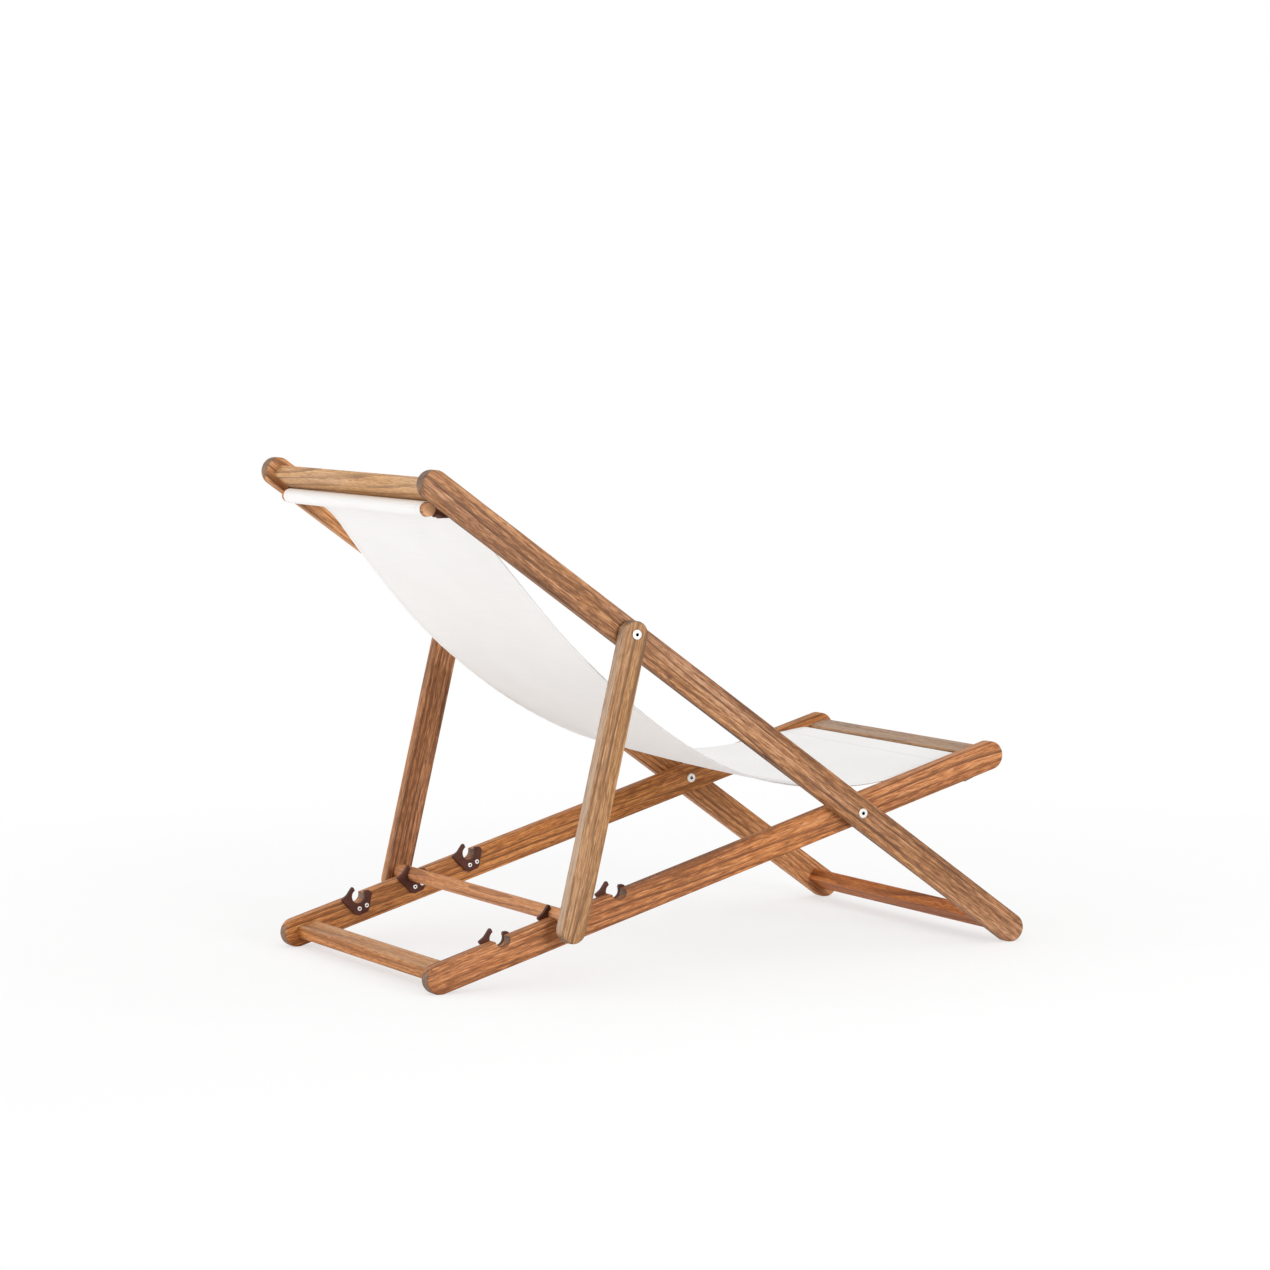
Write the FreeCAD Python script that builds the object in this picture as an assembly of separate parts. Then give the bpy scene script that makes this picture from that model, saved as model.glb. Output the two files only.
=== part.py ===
"""Folding sling chair: two crossed timber frames, a hooked prop and a canvas seat.

Chair frame of reference: +X is forward (the way the sitter faces), +Y the sitter's left, +Z up.
The origin is the middle of the chair's footprint on the floor. Millimetres and degrees.
"""
import FreeCAD
import Part
import math
import os

V = FreeCAD.Vector

# Timber sections.
RAIL_W = 44.0
RAIL_T = 22.0
RAIL_ROUND = 3.0
STRUT_W = 40.0
STRUT_T = 22.0
BAR_T = 20.0
BAR_ROUND = 3.0
TENON_T = 12.0
TENON_DEPTH = 14.0
TENON_SIDE = 6.0
WOOD_PLAY = 0.1

# Set-up of the chair, seen from the side, from the pivot where the rails cross.
SEAT_TILT = 15.77
BACK_TILT = 36.12
SEAT_REAR = 730.0
SEAT_FRONT = 259.0
BACK_HEAD = 882.0
STRUT_BOLT_AT = 497.3
FOOT_FLAT = 0.6

# Layers across the chair: seat rail, back rail, strut, with a washer between each pair.
SEAT_INNER = 244.0
LAYER_GAP = 1.5
BACK_INNER = SEAT_INNER + RAIL_T + LAYER_GAP
STRUT_INNER = BACK_INNER + RAIL_T + LAYER_GAP

# Crossbars: place along the rail from the pivot (forward is positive) and width of the board.
REAR_BAR_AT, REAR_BAR_W = -713.0, 33.0
FRONT_BAR_AT, FRONT_BAR_W = 253.0, 34.0
HEAD_BAR_AT, HEAD_BAR_W = -865.0, 44.0
FOOT_BAR_AT, FOOT_BAR_W = 320.0, 37.0

# Prop dowel and the three pairs of hooks that it can rest in.
PROP_R = 11.0
PROP_TENON_R = 7.0
PROP_AT = -518.5
PROP_UP = 21.0
STRUT_BELOW = 15.6
HOOK_PITCH = 100.5
HOOK_T = 6.5
HOOK_NOTCH_R = 11.35
WOOD_NOTCH_R = 12.0
HOOK_SCREWS = ((-4.7, -18.6), (8.4, -17.6))

# Dowels that carry the canvas, in the brackets inside the rails.
SLING_DOWEL_R = 10.0
HEAD_DOWEL_AT, HEAD_DOWEL_UP = -855.3, -25.6
HEAD_DOWEL_SHORT = 15.5
SEAT_DOWEL_BEHIND = 14.0
SEAT_DOWEL_AT = FRONT_BAR_AT - FRONT_BAR_W / 2 - SEAT_DOWEL_BEHIND
SEAT_DOWEL_UP = 0.0
SEAT_BRACKET_TOP = 7.5
SEAT_BRACKET_SCREWS = ((-6.5, -14.6), (6.5, -14.6))
CRADLE_T = 7.0
CRADLE_R = 13.2
CRADLE_BORE_R = 10.15
JAW_T = 20.0
JAW_START = 7.0
CRADLE_TAB = 40.0
CRADLE_TAB_START = HEAD_BAR_AT + HEAD_BAR_W / 2 - HEAD_DOWEL_AT + 1.3
CRADLE_TOP = 13.0
CRADLE_SCREW_UP = (6.0, -6.0)
CRADLE_SCREW_OFF = 30.0

# Canvas: thickness, half width and the line of its middle, from the pivot (X forward, Z up).
SLING_T = 1.4
SLING_CLEAR = 1.5
SLING_HALF = SEAT_INNER - SLING_CLEAR
SEAT_HEM_HALF = SEAT_INNER - HOOK_T - 0.5
SLING_GAP = 0.4
SLING_BACK_LINE = (
    (-668.0, 477.0), (-641.0, 462.0), (-612.0, 430.5), (-551.0, 355.0), (-484.0, 279.5),
    (-431.0, 229.5), (-350.0, 164.0), (-263.0, 108.5), (-190.0, 74.5), (-115.0, 54.0),
    (-61.0, 46.0), (-10.0, 42.6), (40.0, 43.2),
)
SLING_SEAT_LINE = ((40.0, 43.2), (98.0, 50.0), (160.0, 62.0))
SLING_LIFT_HEAD = (0.45, 0.893)
SLING_LIFT_SEAT = (-0.18, 0.984)
HEM_INNER_R = 10.3

# Steelwork.
BOLT_R = 4.0
BOLT_HEAD_R = 7.5
BOLT_HEAD_T = 2.5
BOLT_HEX = 5.0
BOLT_HEX_DEPTH = 8.0
SLEEVE_HEX_DEPTH = 1.8
SLEEVE_R = 5.0
RUN_PLAY = 0.07
WASHER_R = 9.5
WASHER_PLAY = 0.1
SCREW_R = 1.9
SCREW_HEAD_R = 3.7
SCREW_HEAD_T = 2.2
SCREW_LENGTH = 12.0
SCREW_SOCKET_R = 1.5
SCREW_SOCKET_DEPTH = 4.5

# Worked out from the sizes above.
SIN_S, COS_S = math.sin(math.radians(SEAT_TILT)), math.cos(math.radians(SEAT_TILT))
SIN_B, COS_B = math.sin(math.radians(BACK_TILT)), math.cos(math.radians(BACK_TILT))
BACK_FOOT = SEAT_REAR * SIN_S / SIN_B
HALF_W = RAIL_W / 2
REAR_X = -BACK_HEAD * COS_B - HALF_W
FRONT_X = BACK_FOOT * COS_B + HALF_W
PIVOT = V(-(REAR_X + FRONT_X) / 2, 0, SEAT_REAR * SIN_S + HALF_W - FOOT_FLAT)
PROP_POINT = PIVOT + V(PROP_AT * COS_S - PROP_UP * SIN_S, 0, PROP_AT * SIN_S + PROP_UP * COS_S)
STRUT_POINT = PIVOT + V(-STRUT_BOLT_AT * COS_B, 0, STRUT_BOLT_AT * SIN_B)
STRUT_RUN = STRUT_POINT - PROP_POINT
STRUT_LEN = STRUT_RUN.Length
STRUT_LEAN = math.degrees(math.atan2(STRUT_RUN.x, STRUT_RUN.z))
HOOKS = {
    "front": PROP_AT + HOOK_PITCH,
    "middle": PROP_AT,
    "rear": PROP_AT - HOOK_PITCH,
}
SIDES = {"left": 1, "right": -1}


def turned(shape, tilt, origin):
    """Lean a shape about Y and move it from its own frame to the chair."""
    out = shape.copy()
    out.rotate(V(0, 0, 0), V(0, 1, 0), tilt)
    out.translate(origin)
    return out


def on_seat(shape):
    """From seat-rail coordinates: X forward along the rail, Z square to it, origin on the pivot."""
    return turned(shape, -SEAT_TILT, PIVOT)


def on_back(shape):
    """From back-rail coordinates: X along the rail to its foot, Z square to it."""
    return turned(shape, BACK_TILT, PIVOT)


def on_strut(shape):
    """From strut coordinates: Z along the strut to its bolt, origin on the prop dowel's axis."""
    return turned(shape, STRUT_LEAN, PROP_POINT)


def rod(x, z, y_a, y_b, radius):
    """A round bar along Y between two places across the chair."""
    return Part.makeCylinder(radius, abs(y_b - y_a), V(x, min(y_a, y_b), z), V(0, 1, 0))


def block(x_a, x_b, y_a, y_b, z_a, z_b):
    """A box between two corners given in any order."""
    low = V(min(x_a, x_b), min(y_a, y_b), min(z_a, z_b))
    return Part.makeBox(abs(x_b - x_a), abs(y_b - y_a), abs(z_b - z_a), low)


def plate(wire, y_a, y_b):
    """A flat outline in the XZ plane given thickness across the chair."""
    solid = Part.Face(wire).extrude(V(0, abs(y_b - y_a), 0))
    solid.translate(V(0, min(y_a, y_b), 0))
    return solid


def rims(solid):
    """Edges that lie square to Y: the outlines of the two flat faces."""
    return [edge for edge in solid.Edges if edge.BoundBox.YLength < 1e-6]


def round_ended(x_a, x_b, width, y_a, y_b, soften):
    """A flat timber with half-round ends centred at x_a and x_b and softened long edges."""
    r = width / 2
    wire = Part.Wire([
        Part.makeLine(V(x_a, 0, r), V(x_b, 0, r)),
        Part.Arc(V(x_b, 0, r), V(x_b + r, 0, 0), V(x_b, 0, -r)).toShape(),
        Part.makeLine(V(x_b, 0, -r), V(x_a, 0, -r)),
        Part.Arc(V(x_a, 0, -r), V(x_a - r, 0, 0), V(x_a, 0, r)).toShape(),
    ])
    solid = plate(wire, y_a, y_b)
    return solid.makeFillet(soften, rims(solid))


def mortise(at, width, face, side):
    """The pocket that a crossbar's tenon fills, cut into a rail's inner face."""
    half = width / 2 - TENON_SIDE + WOOD_PLAY
    deep = face + TENON_DEPTH + WOOD_PLAY
    high = TENON_T / 2 + WOOD_PLAY
    return block(at - half, at + half, side * (face - 1), side * deep, -high, high)


def crossbar(at, width, face):
    """A board between two rails with softened edges and a tenon at each end."""
    bar = block(at - width / 2, at + width / 2, -face, face, -BAR_T / 2, BAR_T / 2)
    long_edges = [edge for edge in bar.Edges if edge.BoundBox.YLength > face]
    bar = bar.makeFillet(BAR_ROUND, long_edges)
    half = width / 2 - TENON_SIDE
    reach = face + TENON_DEPTH
    tenon = block(at - half, at + half, -reach, reach, -TENON_T / 2, TENON_T / 2)
    return bar.fuse(tenon).removeSplitter()


def above_floor(shape):
    """Cut the small flat on which a rail's round end stands."""
    floor = Part.makeBox(3000, 3000, 200, V(-1500, -1500, -200))
    return shape.cut(floor)


def hex_recess(x, z, y_face, depth, side):
    """A hexagon socket sunk from a head's outer face; side points out of the face."""
    r = BOLT_HEX / math.sqrt(3)
    corners = [
        V(x + r * math.cos(math.radians(60 * k)), 0, z + r * math.sin(math.radians(60 * k)))
        for k in range(7)
    ]
    return plate(Part.makePolygon(corners), y_face - side * depth, y_face + side)


def headed_pin(x, z, under, head_r, head_t, tip, shank_r, side):
    """A round head that rests at y = under on the given side, with a shank down to y = tip."""
    top = under + side * head_t
    head = rod(x, z, under, top, head_r)
    crown = [e for e in rims(head) if abs(e.BoundBox.YMin - top) < 1e-6]
    head = head.makeFillet(head_t * 0.45, crown)
    return head.fuse(rod(x, z, under, tip, shank_r))


def bolt(x, z, under, tip, side):
    """A furniture bolt with a low round head and a hexagon socket."""
    pin = headed_pin(x, z, under, BOLT_HEAD_R, BOLT_HEAD_T, tip, BOLT_R, side)
    return pin.cut(hex_recess(x, z, under + side * BOLT_HEAD_T, BOLT_HEX_DEPTH, side))


def sleeve(x, z, under, tip, side):
    """A sleeve nut: round flange, hexagon socket and a tube that takes the bolt."""
    pin = headed_pin(x, z, under, BOLT_HEAD_R, BOLT_HEAD_T, tip, SLEEVE_R, side)
    pin = pin.cut(rod(x, z, under - side * 0.5, tip - side, BOLT_R + 0.05))
    return pin.cut(hex_recess(x, z, under + side * BOLT_HEAD_T, SLEEVE_HEX_DEPTH, side))


def screw(x, z, face, side):
    """A pan-head wood screw driven into a plate whose outer face is at y = face."""
    tip = face - side * SCREW_LENGTH
    pin = headed_pin(x, z, face, SCREW_HEAD_R, SCREW_HEAD_T, tip, SCREW_R, side)
    top = face + side * SCREW_HEAD_T
    return pin.cut(rod(x, z, top - side * SCREW_SOCKET_DEPTH, top + side, SCREW_SOCKET_R))


def washer(x, z, y_a, y_b):
    """A plain ring round a bolt."""
    return rod(x, z, y_a, y_b, WASHER_R).cut(rod(x, z, y_a, y_b, BOLT_R + 0.2))


def softened_corners(solid, corners):
    """Round the upright edges of a plate that stand at the given outline corners."""
    for x, z, radius in corners:
        near = []
        for edge in solid.Edges:
            ends = [vertex.Point for vertex in edge.Vertexes]
            if len(ends) == 2 and abs(ends[0].y - ends[1].y) > 1:
                if all(math.hypot(end.x - x, end.z - z) < 0.05 for end in ends):
                    near.append(edge)
        solid = solid.makeFillet(radius, near)
    return solid


def hook_blank(y_a, y_b, notch_r):
    """One hook about its notch: a short front horn and a long rear prong that curls over.

    The outline runs from the notch's front lip down round the screw lobe and up to the prong's
    tip, and one arc makes the notch between the two.
    """
    outline = (
        (13.2, 5.0, 1.6), (19.5, 3.5, 3.0), (23.5, -2.0, 3.0), (11.5, -25.5, 3.0),
        (8.5, -28.5, 3.0), (-7.5, -29.5, 3.0), (-12.5, -26.5, 4.0), (-29.0, 4.0, 2.2),
        (-17.6, 8.2, 8.0), (-7.6, 16.0, 1.6), (-4.4, 17.4, 1.2),
    )
    start = math.radians(108.0)
    end = math.radians(8.0)
    middle = math.radians(240.0)
    lip_a = V(notch_r * math.cos(start), 0, notch_r * math.sin(start))
    lip_b = V(notch_r * math.cos(end), 0, notch_r * math.sin(end))
    low = V(notch_r * math.cos(middle), 0, notch_r * math.sin(middle))
    points = [lip_b] + [V(x, 0, z) for x, z, radius in outline] + [lip_a]
    edges = [Part.makeLine(a, b) for a, b in zip(points, points[1:])]
    edges.append(Part.Arc(lip_a, low, lip_b).toShape())
    return softened_corners(plate(Part.Wire(edges), y_a, y_b), outline)


def screwed_on(blank, screws, side):
    """A moulding about its notch with its inner rims eased and its screw holes drilled."""
    face = side * (SEAT_INNER - HOOK_T)
    eased = [e for e in rims(blank) if abs(e.BoundBox.YMin - face) < 1e-6]
    solid = blank.makeChamfer(0.7, eased)
    for x, z in screws:
        solid = solid.cut(rod(x, z, side * (SEAT_INNER + 1), face - side, SCREW_R + 0.1))
    return solid


def hook(at, side):
    """A hook plate in place inside a seat rail."""
    blank = hook_blank(side * SEAT_INNER, side * (SEAT_INNER - HOOK_T), HOOK_NOTCH_R)
    solid = screwed_on(blank, HOOK_SCREWS, side)
    solid.translate(V(at, 0, PROP_UP))
    return solid


def seat_bracket(side):
    """A hook with a smaller notch, trimmed clear of the front crossbar and of the canvas."""
    y_a, y_b = side * SEAT_INNER, side * (SEAT_INNER - HOOK_T)
    kept = block(-40, SEAT_DOWEL_BEHIND - 0.5, y_a, y_b, -40, SEAT_BRACKET_TOP)
    solid = screwed_on(hook_blank(y_a, y_b, CRADLE_BORE_R), SEAT_BRACKET_SCREWS, side).common(kept)
    solid.translate(V(SEAT_DOWEL_AT, 0, SEAT_DOWEL_UP))
    return solid


def head_bracket(side):
    """A moulded bracket: a screwed tab on the back rail and a deep jaw round the dowel's end.

    The jaw is the part of a ring that lies in front of the dowel, where the canvas pulls.
    """
    y_a, y_b = side * BACK_INNER, side * (BACK_INNER - CRADLE_T)
    y_jaw = side * (BACK_INNER - JAW_T)
    start, tab = CRADLE_TAB_START, CRADLE_TAB
    top = CRADLE_TOP - HEAD_DOWEL_UP
    corners = [
        V(start, 0, top), V(tab, 0, top), V(tab, 0, top - 24), V(0.14 * tab, 0, -CRADLE_R * 0.86),
        V(-0.05 * tab, 0, 0), V(start, 0, CRADLE_R * 0.9), V(start, 0, top),
    ]
    solid = plate(Part.makePolygon(corners), y_a, y_b).fuse(rod(0, 0, y_a, y_jaw, CRADLE_R))
    solid = solid.cut(rod(0, 0, y_a, y_jaw, CRADLE_BORE_R))
    mouth = block(JAW_START, -40, y_a, y_jaw, -40, 40)
    mouth.rotate(V(0, 0, 0), V(0, 1, 0), -BACK_TILT)
    solid = solid.cut(mouth).removeSplitter()
    solid = softened_corners(solid, ((tab, top, 4.0), (tab, top - 24, 6.0), (start, top, 4.0)))
    solid.translate(V(HEAD_DOWEL_AT, 0, HEAD_DOWEL_UP))
    for level in CRADLE_SCREW_UP:
        hole = rod(HEAD_DOWEL_AT + CRADLE_SCREW_OFF, level, y_a + side, y_b - side, SCREW_R + 0.1)
        solid = solid.cut(hole)
    return solid


def pilot(x, z, face, side):
    """The hole of one screw in a rail whose inner face is at y = face."""
    return rod(x, z, side * (face - 1), side * (face + SCREW_LENGTH), SCREW_R + 0.05)


def seat_rail(side):
    """Seat rail with its pivot bore, mortises, screw holes and three notches under the hooks."""
    y_a, y_b = side * SEAT_INNER, side * (SEAT_INNER + RAIL_T)
    rail = round_ended(-SEAT_REAR, SEAT_FRONT, RAIL_W, y_a, y_b, RAIL_ROUND)
    cuts = [rod(0, 0, y_a - side, y_b + side, SLEEVE_R + 0.05)]
    cuts.append(mortise(REAR_BAR_AT, REAR_BAR_W, SEAT_INNER, side))
    cuts.append(mortise(FRONT_BAR_AT, FRONT_BAR_W, SEAT_INNER, side))
    for at in HOOKS.values():
        cuts.append(rod(at, PROP_UP, y_a - side, y_b + side, WOOD_NOTCH_R))
        for x, z in HOOK_SCREWS:
            cuts.append(pilot(at + x, PROP_UP + z, SEAT_INNER, side))
    for x, z in SEAT_BRACKET_SCREWS:
        cuts.append(pilot(SEAT_DOWEL_AT + x, SEAT_DOWEL_UP + z, SEAT_INNER, side))
    return above_floor(on_seat(rail.cut(cuts)))


def back_rail(side):
    """Back rail with a running bore at the pivot and a sleeve bore at the strut."""
    y_a, y_b = side * BACK_INNER, side * (BACK_INNER + RAIL_T)
    rail = round_ended(-BACK_HEAD, BACK_FOOT, RAIL_W, y_a, y_b, RAIL_ROUND)
    cuts = [rod(0, 0, y_a - side, y_b + side, BOLT_R + RUN_PLAY)]
    cuts.append(rod(-STRUT_BOLT_AT, 0, y_a - side, y_b + side, SLEEVE_R + 0.05))
    cuts.append(mortise(HEAD_BAR_AT, HEAD_BAR_W, BACK_INNER, side))
    cuts.append(mortise(FOOT_BAR_AT, FOOT_BAR_W, BACK_INNER, side))
    for level in CRADLE_SCREW_UP:
        cuts.append(pilot(HEAD_DOWEL_AT + CRADLE_SCREW_OFF, level, BACK_INNER, side))
    return above_floor(on_back(rail.cut(cuts)))


def strut(side):
    """Strut with a bolt bore at the top and a blind socket for the prop dowel at the bottom."""
    y_a, y_b = side * STRUT_INNER, side * (STRUT_INNER + STRUT_T)
    body = round_ended(-STRUT_LEN, STRUT_BELOW, STRUT_W, y_a, y_b, RAIL_ROUND)
    body.rotate(V(0, 0, 0), V(0, 1, 0), 90)
    body = body.cut(rod(0, STRUT_LEN, y_a - side, y_b + side, BOLT_R + 0.05))
    socket = rod(0, 0, y_a - side, side * (STRUT_INNER + TENON_DEPTH + WOOD_PLAY), PROP_TENON_R + WOOD_PLAY)
    return on_strut(body.cut(socket))


def prop_dowel():
    """The round bar between the struts, with a turned-down tenon at each end."""
    reach = STRUT_INNER + TENON_DEPTH
    return rod(0, 0, -STRUT_INNER, STRUT_INNER, PROP_R).fuse(rod(0, 0, -reach, reach, PROP_TENON_R))


def canvas(line, centre, lift, at_start, hem_half):
    """One run of canvas: a hem tube round its dowel and a sheet that leaves it as a smooth line.

    The line's points are the middle of the sheet; lift is the direction from the dowel's axis to
    the place where the sheet leaves the tube; at_start says which end of the line has the tube,
    which reaches hem_half to each side.
    """
    mid_r = HEM_INNER_R + SLING_T / 2
    leave = (centre[0] + lift[0] * mid_r, centre[1] + lift[1] * mid_r)
    points = [leave] + list(line) if at_start else list(line) + [leave]
    middle = Part.BSplineCurve()
    middle.interpolate([V(x, 0, z) for x, z in points])
    params = [middle.parameter(V(x, 0, z)) for x, z in points]
    upper, lower = [], []
    for param in params:
        here = middle.value(param)
        along = middle.tangent(param)[0]
        square = V(-along.z, 0, along.x) * (SLING_T / 2)
        upper.append(here + square)
        lower.append(here - square)
    top, under = Part.BSplineCurve(), Part.BSplineCurve()
    top.interpolate(upper)
    under.interpolate(lower)
    wire = Part.Wire([
        top.toShape(),
        Part.makeLine(upper[-1], lower[-1]),
        under.toShape(),
        Part.makeLine(lower[0], upper[0]),
    ])
    sheet = plate(wire, -SLING_HALF, SLING_HALF)
    hem = rod(centre[0], centre[1], -hem_half, hem_half, HEM_INNER_R + SLING_T)
    bore = rod(centre[0], centre[1], -SLING_HALF - 1, SLING_HALF + 1, HEM_INNER_R)
    solid = sheet.fuse(hem).cut(bore).removeSplitter()
    solid = max(solid.Solids, key=lambda piece: piece.Volume)
    solid.translate(PIVOT)
    return solid


nodes = {}

# Seat frame.
nodes["rear_crossbar"] = on_seat(crossbar(REAR_BAR_AT, REAR_BAR_W, SEAT_INNER))
nodes["front_crossbar"] = on_seat(crossbar(FRONT_BAR_AT, FRONT_BAR_W, SEAT_INNER))
seat_end = SEAT_INNER - WOOD_PLAY
nodes["seat_sling_dowel"] = on_seat(rod(SEAT_DOWEL_AT, SEAT_DOWEL_UP, -seat_end, seat_end, SLING_DOWEL_R))
seat_screws = []
for label, side in SIDES.items():
    nodes["seat_rail_" + label] = seat_rail(side)
    plate_face = side * (SEAT_INNER - HOOK_T)
    nodes["seat_dowel_bracket_" + label] = on_seat(seat_bracket(side))
    for x, z in SEAT_BRACKET_SCREWS:
        seat_screws.append(screw(SEAT_DOWEL_AT + x, SEAT_DOWEL_UP + z, plate_face, -side))
    hook_screws = []
    for place, at in HOOKS.items():
        nodes["hook_" + place + "_" + label] = on_seat(hook(at, side))
        for x, z in HOOK_SCREWS:
            hook_screws.append(screw(at + x, PROP_UP + z, plate_face, -side))
    nodes["hook_screws_" + label] = on_seat(Part.makeCompound(hook_screws))
    outer = side * (BACK_INNER + RAIL_T + WASHER_PLAY)
    nodes["pivot_bolt_" + label] = on_seat(bolt(0, 0, outer, side * (SEAT_INNER + 4), side))
    nodes["pivot_sleeve_" + label] = on_seat(
        sleeve(0, 0, side * SEAT_INNER, side * (SEAT_INNER + RAIL_T - 0.5), -side))
    washer_top = side * (BACK_INNER - WASHER_PLAY)
    nodes["pivot_washer_" + label] = on_seat(washer(0, 0, side * (SEAT_INNER + RAIL_T), washer_top))
nodes["seat_bracket_screws"] = on_seat(Part.makeCompound(seat_screws))

# Back frame.
nodes["head_crossbar"] = on_back(crossbar(HEAD_BAR_AT, HEAD_BAR_W, BACK_INNER))
nodes["foot_crossbar"] = on_back(crossbar(FOOT_BAR_AT, FOOT_BAR_W, BACK_INNER))
back_end = BACK_INNER - HEAD_DOWEL_SHORT
nodes["head_sling_dowel"] = on_back(rod(HEAD_DOWEL_AT, HEAD_DOWEL_UP, -back_end, back_end, SLING_DOWEL_R))
head_screws = []
for label, side in SIDES.items():
    nodes["back_rail_" + label] = back_rail(side)
    nodes["head_dowel_bracket_" + label] = on_back(head_bracket(side))
    tab_face = side * (BACK_INNER - CRADLE_T)
    for level in CRADLE_SCREW_UP:
        head_screws.append(screw(HEAD_DOWEL_AT + CRADLE_SCREW_OFF, level, tab_face, -side))
    nodes["strut_sleeve_" + label] = on_back(
        sleeve(-STRUT_BOLT_AT, 0, side * BACK_INNER, side * (BACK_INNER + RAIL_T - 0.5), -side))
    washer_top = side * (STRUT_INNER - WASHER_PLAY)
    nodes["strut_washer_" + label] = on_back(
        washer(-STRUT_BOLT_AT, 0, side * (BACK_INNER + RAIL_T), washer_top))
nodes["head_bracket_screws"] = on_back(Part.makeCompound(head_screws))

# Prop.
nodes["strut_dowel"] = on_strut(prop_dowel())
for label, side in SIDES.items():
    nodes["strut_" + label] = strut(side)
    head_seat = side * (STRUT_INNER + STRUT_T)
    nodes["strut_bolt_" + label] = on_strut(bolt(0, STRUT_LEN, head_seat, side * (STRUT_INNER + 0.1), side))

# Canvas, in two runs that meet just in front of the pivot.
head_axis = (HEAD_DOWEL_AT * COS_B + HEAD_DOWEL_UP * SIN_B, -HEAD_DOWEL_AT * SIN_B + HEAD_DOWEL_UP * COS_B)
seat_axis = (SEAT_DOWEL_AT * COS_S - SEAT_DOWEL_UP * SIN_S, SEAT_DOWEL_AT * SIN_S + SEAT_DOWEL_UP * COS_S)
nodes["sling_back"] = canvas(SLING_BACK_LINE, head_axis, SLING_LIFT_HEAD, True, SLING_HALF)
seat_line = ((SLING_SEAT_LINE[0][0] + SLING_GAP, SLING_SEAT_LINE[0][1]),) + SLING_SEAT_LINE[1:]
nodes["sling_seat"] = canvas(seat_line, seat_axis, SLING_LIFT_SEAT, False, SEAT_HEM_HALF)

os.makedirs("parts", exist_ok=True)
for name, shape in nodes.items():
    shape.exportStep("parts/" + name + ".step")
    print(name, shape.isValid(), len(shape.Solids), round(shape.Volume / 1000, 2))
whole = Part.makeCompound(list(nodes.values())).BoundBox
print("box", [round(v, 2) for v in (whole.XMin, whole.XMax, whole.YMin, whole.YMax, whole.ZMin, whole.ZMax)])
print("head axis", head_axis, "seat axis", seat_axis)
print("pivot", PIVOT, "prop", PROP_POINT, "strut bolt", STRUT_POINT, "strut length", STRUT_LEN)
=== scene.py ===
import bpy
import math
import numpy as np
from mathutils import Matrix, Vector


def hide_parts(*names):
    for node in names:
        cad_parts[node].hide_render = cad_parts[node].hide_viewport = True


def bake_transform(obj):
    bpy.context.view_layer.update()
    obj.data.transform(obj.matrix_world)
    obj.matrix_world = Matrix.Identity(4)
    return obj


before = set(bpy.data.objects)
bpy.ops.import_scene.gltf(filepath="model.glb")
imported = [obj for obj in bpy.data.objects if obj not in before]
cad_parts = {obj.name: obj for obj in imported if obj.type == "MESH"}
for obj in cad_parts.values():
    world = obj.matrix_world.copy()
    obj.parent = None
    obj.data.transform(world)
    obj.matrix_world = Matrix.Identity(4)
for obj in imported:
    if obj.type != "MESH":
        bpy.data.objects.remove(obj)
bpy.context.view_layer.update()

# Set-up of the chair as the solids have it, in metres and degrees.
PIVOT = Vector((0.220298, 0.0, 0.219797))
SEAT_TILT = 15.77
BACK_TILT = 36.12
STRUT_LEAN = 13.974

# Line of the canvas, as (forward, up) from the pivot: the two dowels' axes, the directions in which
# the cloth lifts off them, and points that it passes on the way from head to seat.
HEAD_AXIS = (-0.705988, 0.483502)
SEAT_AXIS = (0.213644, 0.060334)
HEAD_LIFT = (0.45, 0.893)
SEAT_LIFT = (-0.18, 0.984)
CLOTH_LINE = (
    (-0.668, 0.477), (-0.641, 0.462), (-0.612, 0.4305), (-0.551, 0.355), (-0.484, 0.2795),
    (-0.431, 0.2295), (-0.350, 0.164), (-0.263, 0.1085), (-0.190, 0.0745), (-0.115, 0.054),
    (-0.061, 0.046), (-0.010, 0.0426), (0.040, 0.0432), (0.098, 0.050), (0.160, 0.062),
)
LINE_STEP = 0.005

# Cloth between the dowels. It is drawn in at each side round the seat dowel, over a short run.
CLOTH_HALF = 0.2425
CLOTH_T = 0.0012
CLOTH_DIP = 0.0035
DIP_FULLNESS = 0.8
CLOTH_TWIST = 0.006
SEAT_HEM_IN = 0.0055
DRAW_RUN = 0.008

# Dowel pockets: the loop, where it meets the sheet, the flap from there on and its seam.
HEM_R = 0.0109
HEM_CLOSE = 0.030
HEM_FLAP = 0.012
FLAP_DROP = 1.5 * CLOTH_T
SEAM_IN = 0.006
ARC_POINTS = 34
CLOSE_POINTS = 10
CLOSE_PART = (0.1, 0.95)
SMOOTHINGS = 3

# Side hems: a second layer underneath, a rounded rim and shallow puckers.
SIDE_HEM = 0.014
FOLD_T = 0.0007
FOLD_SOFT = 0.0007
FOLD_FADE = 0.02
RIM_R = 0.0012
RIM_LEAST = 0.02
PUCKER = 0.00025
PUCKER_PITCH = 0.021
PUCKER_REACH = 0.010

# Columns of the cloth's grid: even ones up to the side hem, then these, measured in from the edge.
COLUMN_STEP = 0.012
HEM_MARGIN = 0.004
EDGE_COLUMNS = (SIDE_HEM + 0.002, SIDE_HEM + 0.0005, SIDE_HEM - 0.001,
                0.010, 0.006, 0.003, 0.0012, 0.0004, 0.0)

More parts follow.
